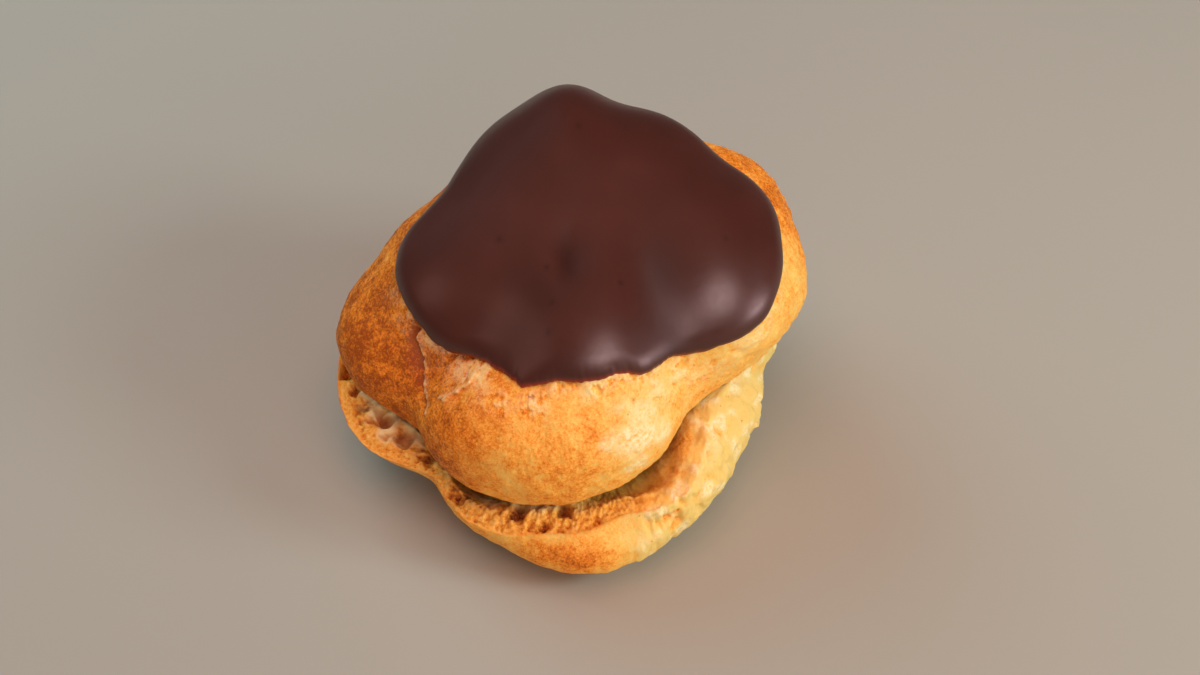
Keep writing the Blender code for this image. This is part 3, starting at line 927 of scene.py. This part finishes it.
# Colours, in linear light, from pale to dark baking, and from the crumb's clefts, darkened by painted shade,
# to its grains.
SKIN_STOPS = (
    (0.0, (0.84, 0.56, 0.17)),
    (0.22, (0.92, 0.52, 0.12)),
    (0.45, (0.94, 0.39, 0.060)),
    (0.7, (0.80, 0.22, 0.014)),
    (1.0, (0.36, 0.07, 0.004)),
)
PIT_COLOUR = (0.42, 0.12, 0.012, 1)
FLOUR_COLOUR = (0.95, 0.80, 0.52, 1)
MOIST_COLOUR = (0.97, 0.82, 0.50, 1)
CRUMB_STOPS = (
    (0.05, (0.16, 0.030, 0.003)),
    (0.26, (0.56, 0.17, 0.014)),
    (0.46, (0.86, 0.36, 0.05)),
    (0.72, (0.95, 0.62, 0.20)),
)
INSIDE_STOPS = (
    (0.05, (0.38, 0.12, 0.012)),
    (0.3, (0.70, 0.33, 0.05)),
    (0.5, (0.88, 0.50, 0.14)),
    (0.75, (0.94, 0.70, 0.34)),
)
# The icing's body, its shaded places and its thin edge.
ICING_STOPS = ((0.3, (0.052, 0.0125, 0.0085)), (0.7, (0.068, 0.0165, 0.0115)))
ICING_SHADED_COLOUR = (0.018, 0.004, 0.003, 1)
ICING_EDGE_COLOUR = (0.30, 0.018, 0.006, 1)


def crust_material(name, roughness):
    """Baked choux: mottled golden skin, porous crumb on the cut, pale moist walls in the hollow."""
    material = bpy.data.materials.new(name)
    material.use_nodes = True
    tree = material.node_tree
    shader = tree.nodes["Principled BSDF"]
    where = node(tree, "TexCoord").outputs["Object"]
    patches = grain(tree, where, 9, 3.0, 0.5)
    mottle = grain(tree, where, 2.2, 6.0, 0.68, 3.0)
    speckle = grain(tree, where, 0.42, 3.0, 0.7, 7.0)
    browning_and_shade = mark(tree, "browning_and_shade")
    for share, source in ((0.6, patches), (1.2, mottle), (1.3, speckle)):
        varied = maths(tree, "MULTIPLY", maths(tree, "SUBTRACT", source, 0.5), share)
        browning_and_shade = maths(tree, "ADD", browning_and_shade, varied)
    skin = ramp(tree, browning_and_shade, SKIN_STOPS)
    pit = ramp(tree, grain(tree, where, 0.8, 2.0, 0.5, 37.0), ((0.24, (1, 1, 1)), (0.33, (0, 0, 0))))
    skin = blend(tree, maths(tree, "MULTIPLY", pit, 0.6), skin, PIT_COLOUR)
    scaly = ramp(tree, grain(tree, where, 0.7, 4.0, 0.7, 41.0), ((0.36, (0, 0, 0)), (0.56, (1, 1, 1))))
    flour = maths(tree, "MULTIPLY", mark(tree, "flour"), scaly, clamp=True)
    skin = blend(tree, flour, skin, FLOUR_COLOUR)
    # Painted shade from the marks darkens the crumb and the hollow's wall.
    cleft_shade = maths(tree, "MULTIPLY", mark(tree, "painted_shade"), -0.36)
    crumb = ramp(tree, maths(tree, "ADD", grain(tree, where, 0.6, 4.0, 0.68, 11.0), cleft_shade), CRUMB_STOPS)
    inside = ramp(tree, maths(tree, "ADD", grain(tree, where, 3.0, 4.0, 0.6, 17.0), cleft_shade), INSIDE_STOPS)
    moist = maths(tree, "MULTIPLY", mark(tree, "flour"), maths(tree, "MULTIPLY", mottle, 1.8), clamp=True)
    inside = blend(tree, moist, inside, MOIST_COLOUR)
    cut = blend(tree, mark(tree, "hollow"), crumb, inside)
    colour = blend(tree, mark(tree, "rim"), skin, cut)
    rough = maths(tree, "ADD", roughness - 0.12, maths(tree, "MULTIPLY", mottle, 0.24))
    rough = maths(tree, "ADD", rough, maths(tree, "MULTIPLY", mark(tree, "rim"), 0.15), clamp=True)
    relief = maths(tree, "ADD", mottle, maths(tree, "MULTIPLY", speckle, 0.6))
    bump = node(tree, "Bump", {"Strength": 0.7, "Distance": 0.0003, "Height": relief})
    tree.links.new(colour, shader.inputs["Base Color"])
    tree.links.new(rough, shader.inputs["Roughness"])
    tree.links.new(bump.outputs[0], shader.inputs["Normal"])
    shader.inputs["Subsurface Weight"].default_value = 0.06
    shader.inputs["Subsurface Radius"].default_value = (1.0, 0.45, 0.18)
    shader.inputs["Subsurface Scale"].default_value = 0.0008
    shader.inputs["Specular IOR Level"].default_value = 0.25
    return material


def icing_material(name):
    """Set chocolate icing: deep brown with a slight red, half gloss, thinner and redder at its edge."""
    material = bpy.data.materials.new(name)
    material.use_nodes = True
    tree = material.node_tree
    shader = tree.nodes["Principled BSDF"]
    where = node(tree, "TexCoord").outputs["Object"]
    clouds = grain(tree, where, 11, 2.0, 0.5, 23.0)
    fine = grain(tree, where, 0.8, 3.0, 0.6, 29.0)
    body = ramp(tree, clouds, ICING_STOPS)
    edge = maths(tree, "POWER", mark(tree, "rim"), 2.0)
    # Painted shade: the valley's ends, the dimple and the pinholes turn towards the shaded colour.
    shaded = maths(tree, "MULTIPLY", maths(tree, "ADD", mark(tree, "painted_shade"), mark(tree, "hollow")), 0.55)
    body = blend(tree, shaded, body, ICING_SHADED_COLOUR)
    colour = blend(tree, edge, body, ICING_EDGE_COLOUR)
    rough = maths(tree, "ADD", 0.28, maths(tree, "MULTIPLY", fine, 0.14))
    rough = maths(tree, "ADD", rough, maths(tree, "MULTIPLY", mark(tree, "painted_shade"), 0.25))
    relief = grain(tree, where, 1.6, 3.0, 0.5, 31.0)
    bump = node(tree, "Bump", {"Strength": 0.25, "Distance": 0.00006, "Height": relief})
    tree.links.new(colour, shader.inputs["Base Color"])
    tree.links.new(rough, shader.inputs["Roughness"])
    tree.links.new(bump.outputs[0], shader.inputs["Normal"])
    shader.inputs["Specular IOR Level"].default_value = 0.5
    return material


def steps(*stretches):
    """Shares along stretches of (start, end, number of steps), each without its start."""
    return np.concatenate([np.linspace(start, end, count + 1)[1:] for start, end, count in stretches])


add_piece(
    "baked_base",
    half_rows(
        base_skin, base_surface, cut_height, math.pi, BASE_CENTRE, base_rim_width, BASE_WALL,
        steps((0, 0.45, 20), (0.45, 1, 60)), steps((0, 1, 26)), steps((1, 0.82, 14), (0.82, 0.03, 16)),
    ),
    crust_material("base_crust", 0.62),
    "base",
)
add_piece(
    "baked_lid",
    half_rows(
        lid_skin, lid_surface, lid_underside_height, 0, LID_CENTRE, lid_rim_width, LID_WALL,
        steps((0, 0.58, 16), (0.58, 1, 88)), steps((0, 1, 18)), steps((1, 0.85, 8), (0.85, 0.03, 16)),
    ),
    crust_material("lid_crust", 0.58),
    "lid",
)
add_piece("poured_icing", icing_rows(), icing_material("dark_icing"), "icing")


def add_floor():
    """A plain pale floor."""
    bpy.ops.mesh.primitive_plane_add(size=3.0)
    floor = bpy.context.object
    floor.name = "floor"
    material = bpy.data.materials.new("floor")
    material.use_nodes = True
    shader = material.node_tree.nodes["Principled BSDF"]
    shader.inputs["Base Color"].default_value = (0.37, 0.342, 0.305, 1)
    shader.inputs["Roughness"].default_value = 0.75
    floor.data.materials.append(material)


# Soft lamps light the bun and shine lamps are only mirrored in it: way from the bun, width, watts and colour.
SOFT_LAMPS = {
    "key": ((0.85, -0.15, 0.5), 0.2, 2.0, (0.80, 1.0, 0.98)),
    "fill": ((-0.6, 0.55, 0.6), 0.5, 2.2, (0.50, 0.92, 1.0)),
    "low": ((0.7, -0.65, 0.25), 0.4, 1.0, (1.0, 0.88, 0.65)),
    "front": ((-0.1, -0.97, 0.14), 0.4, 1.1, (1.0, 0.88, 0.65)),
    "ceiling": ((0.0, 0.0, 1.0), 0.6, 2.6, (1.0, 0.52, 0.38)),
}
SHINE_LAMPS = {
    "window": ((0.34, -0.66, 0.66), 0.34, 2.2, (1.0, 0.76, 0.74)),
    "side": ((0.88, -0.45, 0.08), 0.24, 1.7, (1.0, 0.76, 0.80)),
    "left": ((-0.73, -0.33, 0.59), 0.3, 0.3, (1.0, 0.6, 0.5)),
}
LAMP_DISTANCE = 0.6
LAMP_TARGET = Vector((0, 0, 0.025))


def add_lamp(name, way, size, power, colour, shines):
    """A round lamp that faces the bun."""
    lamp = bpy.data.lights.new(name, "AREA")
    lamp.shape = "DISK"
    lamp.size = size
    lamp.energy = power
    lamp.color = colour
    holder = bpy.data.objects.new(name, lamp)
    holder.location = LAMP_TARGET + Vector(way).normalized() * LAMP_DISTANCE
    holder.rotation_mode = "QUATERNION"
    holder.rotation_quaternion = (-Vector(way)).to_track_quat("-Z", "Y")
    holder.visible_glossy = shines
    holder.visible_diffuse = not shines
    bpy.context.scene.collection.objects.link(holder)


def add_camera():
    """The camera at the photo's viewing angle."""
    camera = bpy.data.cameras.new("camera")
    camera.lens = 50
    camera.sensor_width = 36
    camera.clip_start = 0.01
    holder = bpy.data.objects.new("camera", camera)
    holder.location = (CAMERA_PLACE - SHIFT) * METRES
    holder.rotation_euler = (CAMERA_TILT, 0, 0)
    bpy.context.scene.collection.objects.link(holder)
    bpy.context.scene.camera = holder


add_floor()
for lamps, shines in ((SOFT_LAMPS, False), (SHINE_LAMPS, True)):
    for name, settings in lamps.items():
        add_lamp(name, *settings, shines)
add_camera()
world = bpy.data.worlds.new("world")
bpy.context.scene.world = world
world.use_nodes = True
world.node_tree.nodes["Background"].inputs[0].default_value = (0.96, 0.98, 1.0, 1)
world.node_tree.nodes["Background"].inputs[1].default_value = 0.07
bpy.context.scene.view_settings.view_transform = "Standard"
bpy.context.scene.view_settings.look = "None"
